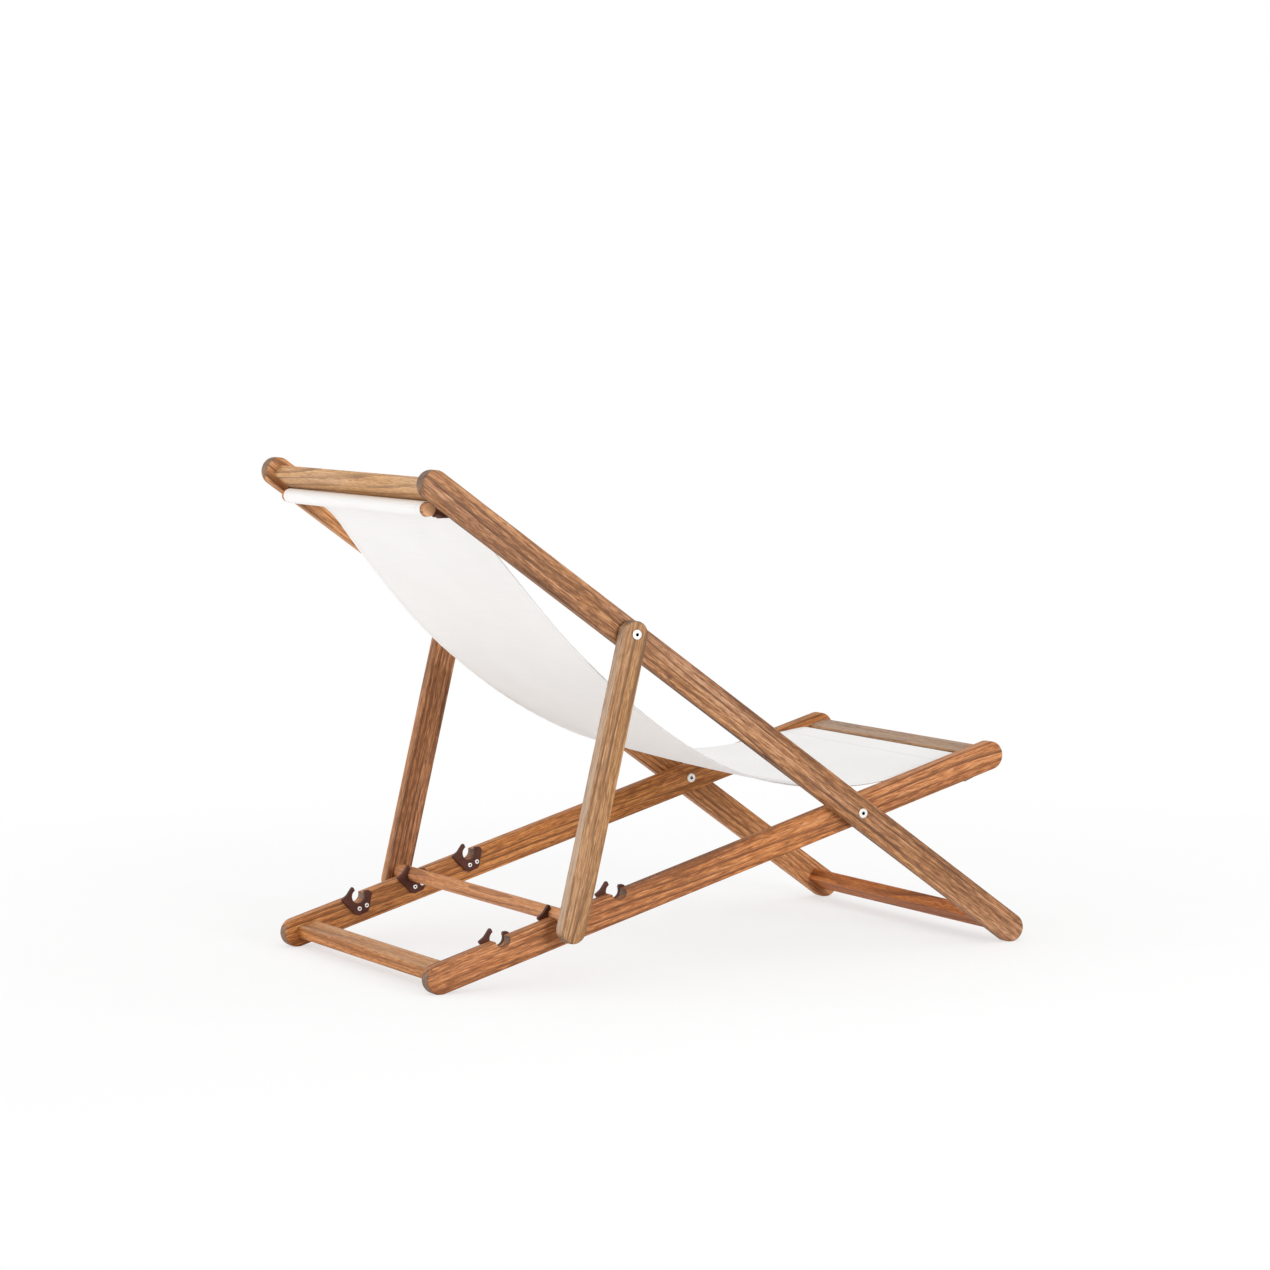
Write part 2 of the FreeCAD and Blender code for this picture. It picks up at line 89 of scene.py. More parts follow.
# Weave and stitches: a pair of threads, stitches to the metre, and half widths of a row.
THREAD_PAIR = 0.0016
STITCHES = 300.0
STITCH_GAP = 0.35
STITCH_HALF = 0.0006
CREASE_SHADE_HALF = 0.0018
ROW_OUT = 0.0022
CANVAS_TONES = ((0.30, (0.870, 0.862, 0.848)), (0.70, (0.925, 0.918, 0.905)))
# Painted shade along the stitch rows and seams, as in a crease, then the stitches' thread.
CREASE_SHADE_TONE = (0.76, 0.75, 0.73, 1.0)
STITCH_TONE = (0.70, 0.68, 0.65, 1.0)

# Wood figure: growth lines to the metre along, across and through a piece, how far they and the
# grain wander, how deep each mark stains, and the eye of a knot on the right back rail.
GROWTH = (1.6, 36.0, 88.0)
GROWTH_WANDER = 5.0
GRAIN_WANDER = (0.0, 0.012, 0.012)
WARMTH = ((0.34, (0.97, 0.97, 1.0)), (0.66, (1.0, 0.93, 0.74)))
STAIN_SHARE = 0.60
LINE_DEPTH = 0.92
PORE_CROWDING = 0.16
PORE_DEPTH = 0.55
END_DEPTH = 0.75
KNOT_AT = (-0.1137, -0.2890, 0.4452)
KNOT_R = 0.006
KNOT_DEPTH = 0.85

# Timber tones as (light, middle, dark, sawn end).
END_GRAIN = (0.150, 0.108, 0.082)
BROWN = ((0.525, 0.285, 0.155), (0.355, 0.162, 0.072), (0.172, 0.072, 0.030), END_GRAIN)
RUSSET = ((0.560, 0.275, 0.130), (0.390, 0.160, 0.062), (0.195, 0.073, 0.026), END_GRAIN)
ORANGE = ((0.640, 0.300, 0.130), (0.460, 0.177, 0.060), (0.235, 0.080, 0.025), END_GRAIN)
GOLDEN = ((0.680, 0.315, 0.110), (0.505, 0.195, 0.056), (0.265, 0.094, 0.025), END_GRAIN)
AMBER = ((0.720, 0.370, 0.175), (0.560, 0.250, 0.098), (0.300, 0.118, 0.042), END_GRAIN)
TAN = ((0.790, 0.520, 0.305), (0.670, 0.400, 0.217), (0.505, 0.268, 0.128), END_GRAIN)
GREYISH = ((0.500, 0.300, 0.168), (0.360, 0.188, 0.088), (0.235, 0.114, 0.050), END_GRAIN)
REDDISH = ((0.640, 0.235, 0.070), (0.485, 0.152, 0.030), (0.310, 0.087, 0.018), END_GRAIN)
PEACH = ((0.730, 0.365, 0.170), (0.610, 0.268, 0.110), (0.450, 0.178, 0.068), (0.760, 0.440, 0.240))
HONEY = ((0.800, 0.390, 0.152), (0.660, 0.272, 0.084), (0.400, 0.148, 0.040), END_GRAIN)

# Each timber piece's turn onto the grain, its own stretch of figure, and its tones.
SEAT_TURN = (0.0, math.radians(SEAT_TILT), 0.0)
BACK_TURN = (0.0, math.radians(-BACK_TILT), 0.0)
STRUT_TURN = (0.0, math.radians(90 - STRUT_LEAN), 0.0)
BAR_TURN = (0.0, 0.0, math.radians(-90))
TIMBERS = {
    "seat_rail_left": (SEAT_TURN, (0.31, 0.05, 0.09), GOLDEN),
    "seat_rail_right": (SEAT_TURN, (1.73, 0.32, -0.07), ORANGE),
    "back_rail_left": (BACK_TURN, (2.41, 0.06, 0.11), AMBER),
    "back_rail_right": (BACK_TURN, (3.87, 0.36, -0.05), BROWN),
    "head_crossbar": (BAR_TURN, (4.19, 0.07, -0.62), TAN),
    "foot_crossbar": (BAR_TURN, (5.23, -0.44, 0.04), REDDISH),
    "rear_crossbar": (BAR_TURN, (6.37, 0.55, 0.06), HONEY),
    "front_crossbar": (BAR_TURN, (7.11, -0.40, -0.20), GREYISH),
    "strut_left": (STRUT_TURN, (8.29, -0.37, -0.10), RUSSET),
    "strut_right": (STRUT_TURN, (9.07, 0.25, -0.13), GREYISH),
    "strut_dowel": (BAR_TURN, (10.3, 0.33, -0.12), PEACH),
    "head_sling_dowel": (BAR_TURN, (11.2, 0.52, -0.71), PEACH),
    "seat_sling_dowel": (BAR_TURN, (12.4, -0.44, -0.28), TAN),
}
KNOTS = {"back_rail_right": KNOT_AT}
# Painted highlight: a pale sheen for the faces of these pieces that point one way.
PAINTED_SHEEN = {
    "strut_right": (0.560, 0.395, 0.275),
    "rear_crossbar": (0.500, 0.315, 0.180),
    "front_crossbar": (0.430, 0.300, 0.212),
}

# Moulded plastic, and steel with the words that name its pieces.
STEEL_WORDS = ("screws", "bolt", "sleeve", "washer")
PLASTIC_TONES = ((0.35, (0.062, 0.017, 0.009)), (0.70, (0.098, 0.029, 0.017)))
STEEL_TONES = ((0.30, (0.72, 0.71, 0.69)), (0.75, (0.86, 0.85, 0.83)))
# Painted shade for the steel's sockets, and how far round a point a recess is looked for.
SOCKET_SHADE = (0.010, 0.009, 0.008, 1.0)
SOCKET_REACH = 0.006

# Studio: the sky's level on the chair, the floor and how far out it turns plain white, and the lamps
# as (place, watts).
SKY_LIGHT = 0.89
FLOOR_HALF = 30.0
FLOOR_TONE = (0.96, 0.96, 0.96, 1.0)
FLOOR_FADE = 4.0
WHITE = (1.0, 1.0, 1.0, 1.0)
LAMPS = {"key": ((0.6, -4.3, 1.1), 75.0), "rim": ((-3.4, 2.4, 0.55), 31.0)}
LAMP_AIM = (0.0, 0.0, 0.30)
LAMP_SIZE = 1.0

# Camera, as fitted to the photograph: lens and sensor in millimetres, how far it sees, its place from
# the pivot, and in degrees its heading, its tilt up from looking straight down, and its roll.
LENS = 115.63
SENSOR = 36.0
SIGHT_END = 200.0
EYE_FROM_PIVOT = Vector((-3.2418, -5.5369, 0.7970))
EYE_HEADING = -28.5088
EYE_TILT = 85.1517
EYE_ROLL = -0.4418


def shader(name):
    """A new material, its node tree and its main surface node."""
    material = bpy.data.materials.new(name)
    material.use_nodes = True
    tree = material.node_tree
    return material, tree, tree.nodes["Principled BSDF"]


def feed(tree, item, inputs):
    """Set a node's inputs, each to a value or by a link from a socket."""
    for key, value in inputs.items():
        if isinstance(value, bpy.types.NodeSocket):
            tree.links.new(value, item.inputs[key])
        else:
            item.inputs[key].default_value = value


def add(tree, kind, inputs=None, **props):
    """A node of the given kind; inputs are values, or sockets to link from."""
    item = tree.nodes.new(kind)
    for key, value in props.items():
        setattr(item, key, value)
    feed(tree, item, inputs or {})
    return item


def maths(tree, operation, a, b=0.0):
    """The result of one sum on two values or sockets."""
    return add(tree, "ShaderNodeMath", {0: a, 1: b}, operation=operation).outputs[0]


def ramp(tree, factor, stops):
    """A colour ramp through (place, colour) stops."""
    item = add(tree, "ShaderNodeValToRGB", {"Fac": factor})
    elements = item.color_ramp.elements
    while len(elements) < len(stops):
        elements.new(0.5)
    for element, (place, colour) in zip(elements, stops):
        element.position = place
        element.color = (*colour, 1.0)
    return item.outputs["Color"]


def mask(tree, factor, stops):
    """A grey ramp through (place, level) stops."""
    return ramp(tree, factor, [(place, (level, level, level)) for place, level in stops])


def mixed(tree, factor, a, b, blend="MIX"):
    """Two colours mixed by a factor."""
    item = add(tree, "ShaderNodeMix", data_type="RGBA", blend_type=blend)
    feed(tree, item, {0: factor, 6: a, 7: b})
    return item.outputs[2]


def stained(tree, marks, depth, colour, stain):
    """A colour turned towards a stain where marks are 1, to the given depth."""
    return mixed(tree, maths(tree, "MULTIPLY", marks, depth), colour, stain)


def noise(tree, vector, scale, detail, rough, output="Fac"):
    """Noise drawn out by its own scale along each axis."""
    drawn = add(tree, "ShaderNodeMapping", {"Vector": vector, "Scale": scale}).outputs["Vector"]
    return add(tree, "ShaderNodeTexNoise", {
        "Vector": drawn, "Scale": 1.0, "Detail": detail, "Roughness": rough}).outputs[output]


def cloud(tree, vector, scale, detail):
    """Noise of one scale every way."""
    return add(tree, "ShaderNodeTexNoise", {
        "Vector": vector, "Scale": scale, "Detail": detail}).outputs["Fac"]


def growth_lines(tree, laid, grain):
    """Growth lines, 1 where darkest: steps of a sum that climbs across the piece and wanders slowly.

    Each is dark at its step and pales behind it, and they fade in and out along the piece.
    """
    climb = add(tree, "ShaderNodeVectorMath", {0: grain, 1: GROWTH}, operation="DOT_PRODUCT")
    slow = maths(tree, "MULTIPLY", noise(tree, laid, (0.9, 15.0, 15.0), 2.0, 0.45), GROWTH_WANDER)
    step = maths(tree, "FRACT", maths(tree, "ADD", climb.outputs["Value"], slow))
    line = mask(tree, step, ((0.0, 0.90), (0.05, 1.0), (0.20, 0.78), (0.38, 0.14), (0.95, 0.0)))
    fade = mask(tree, noise(tree, grain, (5.0, 46.0, 46.0), 3.0, 0.6), ((0.33, 0.12), (0.57, 1.0)))
    return maths(tree, "MULTIPLY", line, fade)


def pores(tree, grain, broad):
    """Open pores, 1 where deepest: short dashes where a fine noise and the broad tone are both low."""
    crowd = maths(tree, "MULTIPLY", broad, PORE_CROWDING)
    dash = maths(tree, "ADD", noise(tree, grain, (60.0, 640.0, 640.0), 1.0, 0.5), crowd)
    return mask(tree, dash, ((0.41, 1.0), (0.48, 0.0)))


def timber(name, turn, shift, light, middle, dark, sawn, knot=None, painted_sheen=None):
    """Oiled open-pored hardwood whose grain runs along one piece.

    turn leans the piece's length onto X, and shift moves the figure so that no two pieces share
    it. Tone is the sum of four noises drawn out along X: broad, streaked, flecked and fibrous.
    Growth lines and pores stain it. Faces square to the grain take the sawn colour. A knot is a
    small dark eye at a given point, and the last pale tone is a painted highlight on a strut's
    rear edge or a bar's upper face, picked by which way the face points.
    """
    material, tree, surface = shader(name)
    place = add(tree, "ShaderNodeTexCoord").outputs
    laid = add(tree, "ShaderNodeMapping", {
        "Vector": place["Object"], "Rotation": turn, "Location": shift}).outputs["Vector"]
    wander = noise(tree, laid, (4.0, 18.0, 18.0), 2.0, 0.5, "Color")
    grain = add(tree, "ShaderNodeVectorMath", {
        0: wander, 1: GRAIN_WANDER, 2: laid}, operation="MULTIPLY_ADD").outputs["Vector"]

    broad = noise(tree, grain, (1.6, 26.0, 26.0), 2.0, 0.5)
    streak = noise(tree, grain, (2.6, 190.0, 190.0), 4.0, 0.6)
    fleck = noise(tree, grain, (52.0, 640.0, 640.0), 2.0, 0.6)
    fibre = noise(tree, laid, (22.0, 520.0, 520.0), 3.0, 0.6)
    tone = maths(tree, "MULTIPLY", broad, 0.22)
    for part, share in ((streak, 0.26), (fleck, 0.34), (fibre, 0.18)):
        tone = maths(tree, "ADD", tone, maths(tree, "MULTIPLY", part, share))
    colour = ramp(tree, tone, ((0.43, dark), (0.50, middle), (0.57, light)))
    warmth = ramp(tree, noise(tree, grain, (3.6, 24.0, 24.0), 2.0, 0.5), WARMTH)
    colour = mixed(tree, 1.0, colour, warmth, "MULTIPLY")

    stain = (*(part * STAIN_SHARE for part in dark), 1.0)
    colour = stained(tree, growth_lines(tree, laid, grain), LINE_DEPTH, colour, stain)
    pore = pores(tree, grain, broad)
    colour = stained(tree, pore, PORE_DEPTH, colour, stain)
    if knot:
        near = add(tree, "ShaderNodeVectorMath", {
            0: place["Object"], 1: knot}, operation="DISTANCE").outputs["Value"]
        eye = mask(tree, maths(tree, "DIVIDE", near, KNOT_R), ((0.25, 1.0), (0.70, 0.35), (1.0, 0.0)))
        colour = stained(tree, eye, KNOT_DEPTH, colour, stain)

    facing = add(tree, "ShaderNodeMapping", {
        "Vector": place["Normal"], "Rotation": turn}).outputs["Vector"]
    facing = add(tree, "ShaderNodeSeparateXYZ", {"Vector": facing}).outputs
    # Painted highlight: faces that point along the turned Z go pale, streaked by the grain's tone.
    if painted_sheen:
        edge = mask(tree, facing["Z"], ((0.75, 0.0), (0.97, 1.0)))
        sheen_streaks = mask(tree, tone, ((0.43, 0.15), (0.56, 0.90)))
        colour = mixed(tree, maths(tree, "MULTIPLY", edge, sheen_streaks), colour, (*painted_sheen, 1.0))
    ends = mask(tree, maths(tree, "ABSOLUTE", facing["X"]), ((0.50, 0.0), (0.90, 1.0)))
    colour = stained(tree, ends, END_DEPTH, colour, (*sawn, 1.0))

    rough = maths(tree, "ADD", maths(tree, "MULTIPLY", fibre, 0.24), 0.46)
    height = maths(tree, "SUBTRACT", maths(tree, "MULTIPLY", fibre, 0.6), pore)
    bump = add(tree, "ShaderNodeBump", {"Height": height, "Strength": 0.30, "Distance": 0.0005})
    feed(tree, surface, {"Base Color": colour, "Roughness": rough, "Specular IOR Level": 0.28,
                         "Normal": bump.outputs["Normal"]})
    return material


def moulded():
    """Dark brown moulded plastic with a fine spark-eroded grain and slightly worn tone."""
    material, tree, surface = shader("moulded_brown")
    place = add(tree, "ShaderNodeTexCoord").outputs["Object"]
    grain = cloud(tree, place, 1600.0, 2.0)
    colour = ramp(tree, cloud(tree, place, 60.0, 4.0), PLASTIC_TONES)
    rough = maths(tree, "ADD", maths(tree, "MULTIPLY", grain, 0.20), 0.36)
    bump = add(tree, "ShaderNodeBump", {"Height": grain, "Strength": 0.25, "Distance": 0.0002})
    feed(tree, surface, {"Base Color": colour, "Roughness": rough, "Specular IOR Level": 0.20,
                         "Normal": bump.outputs["Normal"]})
    return material


def steel():
    """Stainless steel: a fine grain in its roughness, smudges of tone, and painted shade deep in its
    sockets.
    """
    material, tree, surface = shader("stainless")
    place = add(tree, "ShaderNodeTexCoord").outputs["Object"]
    colour = ramp(tree, cloud(tree, place, 140.0, 2.0), STEEL_TONES)
    # Painted shade: near-black where ambient occlusion finds the point inside a recess.
    open_sky = add(tree, "ShaderNodeAmbientOcclusion", {"Distance": SOCKET_REACH},
                   only_local=True, samples=8).outputs["AO"]
    deep = mask(tree, open_sky, ((0.60, 1.0), (0.94, 0.0)))
    colour = mixed(tree, deep, colour, SOCKET_SHADE)
    fine = cloud(tree, place, 900.0, 3.0)
    rough = maths(tree, "ADD", maths(tree, "MULTIPLY", fine, 0.25), 0.20)
    feed(tree, surface, {"Base Color": colour, "Roughness": rough, "Metallic": 1.0})
    return material


def canvas(seams):
    """Off-white cotton canvas: a plain weave in cloth coordinates, slubs and rows of stitches.

    The cloth coordinates are metres across (U) and along (V). The weave is the product of two
    waves, one thread each way. The stitches are dashes along the side hems and on the two seams
    that close the dowel pockets, with painted shade along each row, as in a crease.
    """
    material, tree, surface = shader("canvas_white")
    cloth = add(tree, "ShaderNodeTexCoord").outputs["UV"]
    axes = add(tree, "ShaderNodeSeparateXYZ", {"Vector": cloth}).outputs
    across, along = axes["X"], axes["Y"]

    def thread(value):
        """A sine wave along one way of the cloth, one period to a pair of threads."""
        return maths(tree, "SINE", maths(tree, "MULTIPLY", value, 2 * math.pi / THREAD_PAIR))

    def near(value, place, reach):
        """1 within reach of a place, and 0 elsewhere."""
        row = maths(tree, "COMPARE", value, place)
        row.node.inputs[2].default_value = reach
        return row

    def dashes(value):
        """1 along each stitch, and 0 in the gap before it."""
        count = maths(tree, "MULTIPLY", value, STITCHES)
        return maths(tree, "GREATER_THAN", maths(tree, "FRACT", count), STITCH_GAP)

    weave = maths(tree, "MULTIPLY", thread(across), thread(along))
    drawn = add(tree, "ShaderNodeMapping", {"Vector": cloth, "Scale": (12.0, 460.0, 1.0)})
    slub = cloud(tree, drawn.outputs["Vector"], 1.0, 3.0)
    soft = cloud(tree, cloth, 6.0, 2.0)
    tone = maths(tree, "ADD", maths(tree, "MULTIPLY", slub, 0.5), maths(tree, "MULTIPLY", soft, 0.5))
    colour = ramp(tree, tone, CANVAS_TONES)

    edge = maths(tree, "ABSOLUTE", across)
    row = CLOTH_HALF - SIDE_HEM + ROW_OUT
    stitch = maths(tree, "MULTIPLY", near(edge, row, STITCH_HALF), dashes(along))
    crease_shade = near(edge, row, CREASE_SHADE_HALF)
    for seam in seams:
        sewn = maths(tree, "MULTIPLY", near(along, seam, STITCH_HALF), dashes(across))
        stitch = maths(tree, "MAXIMUM", stitch, sewn)
        crease_shade = maths(tree, "MAXIMUM", crease_shade, near(along, seam, CREASE_SHADE_HALF))
    # Painted shade along each row and seam, as in a crease, then the stitches' own thread colour.
    colour = stained(tree, crease_shade, 0.30, colour, CREASE_SHADE_TONE)
    colour = stained(tree, stitch, 0.50, colour, STITCH_TONE)

    height = maths(tree, "ADD", maths(tree, "MULTIPLY", weave, 0.5), stitch)
    height = maths(tree, "ADD", height, maths(tree, "MULTIPLY", slub, 0.5))
    bump = add(tree, "ShaderNodeBump", {"Height": height, "Strength": 0.25, "Distance": 0.0003})
    feed(tree, surface, {"Base Color": colour, "Roughness": 0.92, "Specular IOR Level": 0.12,
                         "Sheen Weight": 0.10, "Normal": bump.outputs["Normal"]})
    return material


def smooth_line(points, first, last, step):
    """A smooth curve through points, with set directions at both ends, every step metres or so.

    It is a cubic in each span whose bending is continuous, in terms of the chord lengths.
    """
    points = np.asarray(points, float)
    chord = np.linalg.norm(np.diff(points, axis=0), axis=1)
    count = len(points)
    system = np.zeros((count, count))
    right = np.zeros((count, 2))
    system[0, 0] = system[-1, -1] = 1.0
    right[0], right[-1] = first, last
    for k in range(1, count - 1):
        a, b = chord[k - 1], chord[k]
        system[k, k - 1:k + 2] = b, 2 * (a + b), a
        right[k] = 3 * (b / a * (points[k] - points[k - 1]) + a / b * (points[k + 1] - points[k]))
    slope = np.linalg.solve(system, right)
    rows = []
    for k in range(count - 1):
        t = np.linspace(0, 1, max(3, int(chord[k] / step)), endpoint=False)[:, None]
        h00, h10 = 2 * t**3 - 3 * t**2 + 1, t**3 - 2 * t**2 + t
        h01, h11 = 3 * t**2 - 2 * t**3, t**3 - t**2
        rows.append(h00 * points[k] + h10 * chord[k] * slope[k]
                    + h01 * points[k + 1] + h11 * chord[k] * slope[k + 1])
    rows.append(points[-1:])
    return np.vstack(rows)


def run_along(line):
    """The distance run along a line at each of its points, and its direction there."""
    run = np.concatenate(([0.0], np.cumsum(np.linalg.norm(np.diff(line, axis=0), axis=1))))
    ahead = np.gradient(line, run, axis=0)
    ahead /= np.linalg.norm(ahead, axis=1)[:, None]
    return run, ahead


def hem(axis, sheet, away):
    """The pocket round one dowel, from the point where the sheet leaves it to the sewn flap's end.

    sheet is the line of the cloth from that point on; away is +1 where it leaves forward of the
    dowel and -1 where it leaves to the rear. The pocket is an arc round the dowel and a straight
    run that meets the sheet's underside, and the flap follows the sheet from there. The whole is
    then eased by averaging each point with its neighbours.
    """
    axis = np.array(axis)
    run, ahead = run_along(sheet)
    under = away * np.column_stack((ahead[:, 1], -ahead[:, 0]))
    sewn = (run > HEM_CLOSE) & (run < HEM_CLOSE + HEM_FLAP)
    tail = sheet[sewn] + FLAP_DROP * under[sewn]
    gap = tail[0] - axis
    touch = math.atan2(gap[1], gap[0]) - away * math.acos(HEM_R / math.hypot(*gap))
    start = math.atan2(sheet[0][1] - axis[1], sheet[0][0] - axis[0])
    sweep = away * (touch - start) % (2 * math.pi)
    angles = start + away * np.linspace(0, sweep, ARC_POINTS)
    arc = axis + HEM_R * np.column_stack((np.cos(angles), np.sin(angles)))
    close = arc[-1] + (tail[0] - arc[-1]) * np.linspace(*CLOSE_PART, CLOSE_POINTS)[:, None]
    path = np.vstack((arc, close, tail))
    for _ in range(SMOOTHINGS):
        path[2:-1] = 0.25 * path[1:-2] + 0.5 * path[2:-1] + 0.25 * path[3:]
    return path


def cloth_mesh(top, low, wide, run):
    """A closed sheet from its upper and lower grids of points, with cloth coordinates in metres.

    Each grid is faced by its own quads, and a ring of quads round the edge joins the two.
    """
    rows, cols = top.shape[:2]
    verts = np.concatenate((top.reshape(-1, 3), low.reshape(-1, 3)))
    index = np.arange(rows * cols).reshape(rows, cols)
    a, b, c, d = index[:-1, :-1], index[1:, :-1], index[1:, 1:], index[:-1, 1:]
    upper = np.stack((a, d, c, b), axis=-1).reshape(-1, 4)
    lower = np.stack((a, b, c, d), axis=-1).reshape(-1, 4) + rows * cols
    ring = np.concatenate((index[:, 0], index[-1, 1:], index[-2::-1, -1], index[0, -2:0:-1]))
    after = np.roll(ring, -1)
    sides = np.stack((ring, ring + rows * cols, after + rows * cols, after), axis=-1)
    faces = np.concatenate((upper, lower, sides))
    mesh = bpy.data.meshes.new("canvas_sling")
    mesh.from_pydata(verts.tolist(), [], faces.tolist())
    u = np.tile(np.broadcast_to(wide, (rows, cols)).reshape(-1), 2)
    v = np.tile(np.repeat(run, cols), 2)
    loops = np.empty(len(mesh.loops), dtype=np.int32)
    mesh.loops.foreach_get("vertex_index", loops)
    layer_uv = mesh.uv_layers.new(name="cloth")
    layer_uv.data.foreach_set("uv", np.column_stack((u[loops], v[loops])).reshape(-1))
    mesh.polygons.foreach_set("use_smooth", [True] * len(mesh.polygons))
    mesh.update()
    return mesh


def sling():
    """The canvas as one closed sheet: a line from hem to hem, drawn across the chair.

    The line gives the middle of the cloth. Half the cloth's thickness goes to each side, with a
    fold's more under the side hems. Between the dowels the cloth dips by a parabola across, and
    twists slightly: one edge stands higher behind the sitter and lower under them. Its edges
    pucker in a shallow wave. Round the seat dowel it is drawn in a little, to lie between the
    brackets.
    """
    head_up = np.array(HEAD_LIFT) / math.hypot(*HEAD_LIFT)
    seat_up = np.array(SEAT_LIFT) / math.hypot(*SEAT_LIFT)
    points = [HEAD_AXIS + HEM_R * head_up, *CLOTH_LINE, SEAT_AXIS + HEM_R * seat_up]
    leave = (head_up[1], -head_up[0])
    arrive = (seat_up[1], -seat_up[0])
    main = smooth_line(points, leave, arrive, LINE_STEP)
    head = hem(HEAD_AXIS, main, 1)
    seat = hem(SEAT_AXIS, main[::-1], -1)
    line = np.vstack((head[::-1], main[1:-1], seat))
    run, along = run_along(line)
    square = np.column_stack((-along[:, 1], along[:, 0]))
    inner = np.arange(0.0, CLOTH_HALF - SIDE_HEM - HEM_MARGIN, COLUMN_STEP)
    half = np.concatenate((inner, CLOTH_HALF - np.array(EDGE_COLUMNS)))
    wide = np.concatenate((-half[:0:-1], half))
    out = np.abs(wide)

    first, last = len(head), len(head) + len(main) - 2
    way = np.clip((run - run[first]) / (run[last] - run[first]), 0, 1)
    free = np.sin(np.pi * way) ** DIP_FULLNESS
    pull = np.clip((run - run[last] + DRAW_RUN / 2) / DRAW_RUN, 0, 1)
    drawn = 1 - SEAT_HEM_IN / CLOTH_HALF * pull ** 2 * (3 - 2 * pull)
    dip = -CLOTH_DIP * np.outer(free, 1 - (wide / CLOTH_HALF) ** 2)
    twist = -CLOTH_TWIST * np.outer(np.sin(2 * np.pi * way), wide / CLOTH_HALF)
    pucker = PUCKER * np.outer(np.sin(run * 2 * np.pi / PUCKER_PITCH) * free,
                               np.exp(-((out - CLOTH_HALF) / PUCKER_REACH) ** 2))
    lift = dip + twist + pucker

    fold = 1.0 / (1.0 + np.exp(-(out - (CLOTH_HALF - SIDE_HEM)) / FOLD_SOFT))
    rounding = np.clip(out - CLOTH_HALF + RIM_R, 0, None) / RIM_R
    rim = np.sqrt(np.clip(1 - rounding ** 2, RIM_LEAST, 1))
    over = 0.5 * CLOTH_T * rim
    plain = np.clip(np.minimum(run - run[first], run[last] - run) / FOLD_FADE + 1, 0, 1)
    under = 0.5 * CLOTH_T * rim + np.outer(plain, FOLD_T * fold * rim)

    def layer(offset):
        """One face of the cloth: the line moved square to itself by its lift and an offset."""
        shift = lift + offset
        x = line[:, 0][:, None] + square[:, 0][:, None] * shift
        z = line[:, 1][:, None] + square[:, 1][:, None] * shift
        y = np.outer(drawn, wide)
        return np.stack((x + PIVOT.x, y, z + PIVOT.z), axis=-1)

    mesh = cloth_mesh(layer(over[None, :]), layer(-under), wide, run)
    piece = bpy.data.objects.new("canvas_sling", mesh)
    scene.collection.objects.link(piece)
    seams = (float(run[first] + HEM_CLOSE + SEAM_IN), float(run[last] - HEM_CLOSE - SEAM_IN))
    return piece, float(run[-1]), seams


def dress(node, material):
    """Give a solid's slots a finished material."""
    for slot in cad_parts[node].material_slots:
        slot.material = material


def seen(tree):
    """1 for what shows directly, in a gloss or through glass, and 0 for light on its way."""
    ray = add(tree, "ShaderNodeLightPath").outputs
    mirrored = maths(tree, "MAXIMUM", ray["Is Glossy Ray"], ray["Is Transmission Ray"])
    return maths(tree, "MAXIMUM", ray["Is Camera Ray"], mirrored)


def white_floor():
    """A pale matt floor that keeps the chair's shadow and turns plain white further out."""
    ground = bpy.data.meshes.new("floor")
    corners = [(x * FLOOR_HALF, y * FLOOR_HALF, 0.0) for x, y in ((-1, -1), (1, -1), (1, 1), (-1, 1))]
    ground.from_pydata(corners, [], [(0, 1, 2, 3)])
    floor = bpy.data.objects.new("floor", ground)
    scene.collection.objects.link(floor)
    paint, tree, surface = shader("floor_white")
    feed(tree, surface, {"Base Color": FLOOR_TONE, "Roughness": 0.9, "Specular IOR Level": 0.1})
    spot = add(tree, "ShaderNodeTexCoord").outputs["Object"]
    away = add(tree, "ShaderNodeVectorMath", {0: spot}, operation="LENGTH").outputs["Value"]
    fade = mask(tree, maths(tree, "DIVIDE", away, FLOOR_FADE), ((0.20, 0.6), (0.50, 1.0)))
    white = add(tree, "ShaderNodeEmission", {"Color": WHITE, "Strength": 1.0})
    both = add(tree, "ShaderNodeMixShader", {
        0: maths(tree, "MULTIPLY", seen(tree), fade),
        1: surface.outputs["BSDF"], 2: white.outputs["Emission"]})
    feed(tree, tree.nodes["Material Output"], {"Surface": both.outputs["Shader"]})
    ground.materials.append(paint)
    return floor


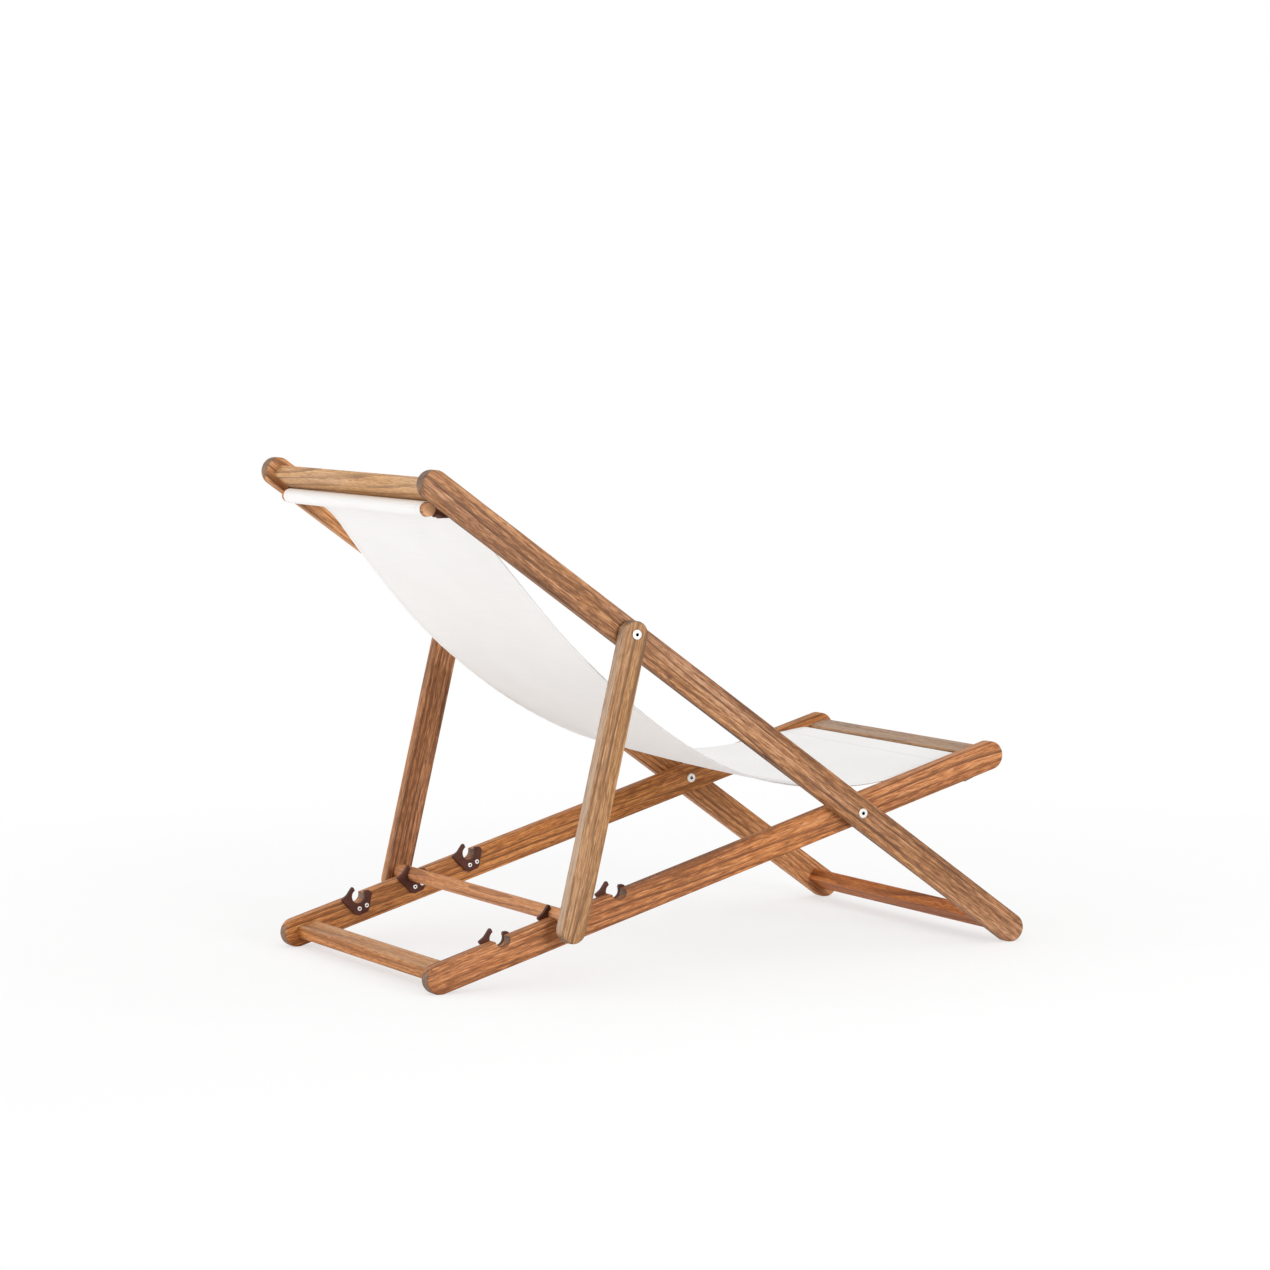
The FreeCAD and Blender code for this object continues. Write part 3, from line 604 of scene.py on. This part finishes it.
def studio_sky():
    """An even sky that shows white and lights the chair at its own level."""
    world = bpy.data.worlds.new("studio")
    world.use_nodes = True
    tree = world.node_tree
    level = add(tree, "ShaderNodeMapRange", {"Value": seen(tree), "To Min": SKY_LIGHT, "To Max": 1.0})
    feed(tree, tree.nodes["Background"], {"Color": WHITE, "Strength": level.outputs["Result"]})
    return world


def lamp(name, place, power):
    """A large soft square light aimed at the chair."""
    light = bpy.data.lights.new(name, "AREA")
    light.shape = "SQUARE"
    light.size = LAMP_SIZE
    light.energy = power
    item = bpy.data.objects.new(name, light)
    item.location = place
    item.rotation_euler = (Vector(LAMP_AIM) - Vector(place)).to_track_quat("-Z", "Y").to_euler()
    scene.collection.objects.link(item)


def photo_camera():
    """The camera at the photograph's viewing angle: rolled, tilted up, then turned to its heading."""
    camera = bpy.data.cameras.new("photo_view")
    camera.sensor_fit = "HORIZONTAL"
    camera.sensor_width = SENSOR
    camera.lens = LENS
    camera.clip_end = SIGHT_END
    eye = bpy.data.objects.new("photo_view", camera)
    eye.matrix_world = Matrix.Translation(PIVOT + EYE_FROM_PIVOT)
    for angle, axis in ((EYE_HEADING, "Z"), (EYE_TILT, "X"), (EYE_ROLL, "Z")):
        eye.matrix_world = eye.matrix_world @ Matrix.Rotation(math.radians(angle), 4, axis)
    scene.collection.objects.link(eye)
    return eye


scene = bpy.context.scene

# Finishes of the solids.
for node, (turn, shift, tones) in TIMBERS.items():
    dress(node, timber("timber_" + node, turn, shift, *tones, KNOTS.get(node), PAINTED_SHEEN.get(node)))
plastic, metal = moulded(), steel()
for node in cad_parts:
    if any(word in node for word in STEEL_WORDS):
        dress(node, metal)
    elif node.startswith("hook_") or "bracket" in node:
        dress(node, plastic)

# The canvas crosses the pivot, so it follows the back frame at its head and the seat at its front.
cloth, cloth_length, cloth_seams = sling()
cloth.data.materials.append(canvas(cloth_seams))
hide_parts("sling_back", "sling_seat")
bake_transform(cloth)

# Floor, light and camera.
floor = white_floor()
scene.world = studio_sky()
for name, (place, power) in LAMPS.items():
    lamp(name, place, power)
scene.camera = photo_camera()
scene.view_settings.view_transform = "Standard"
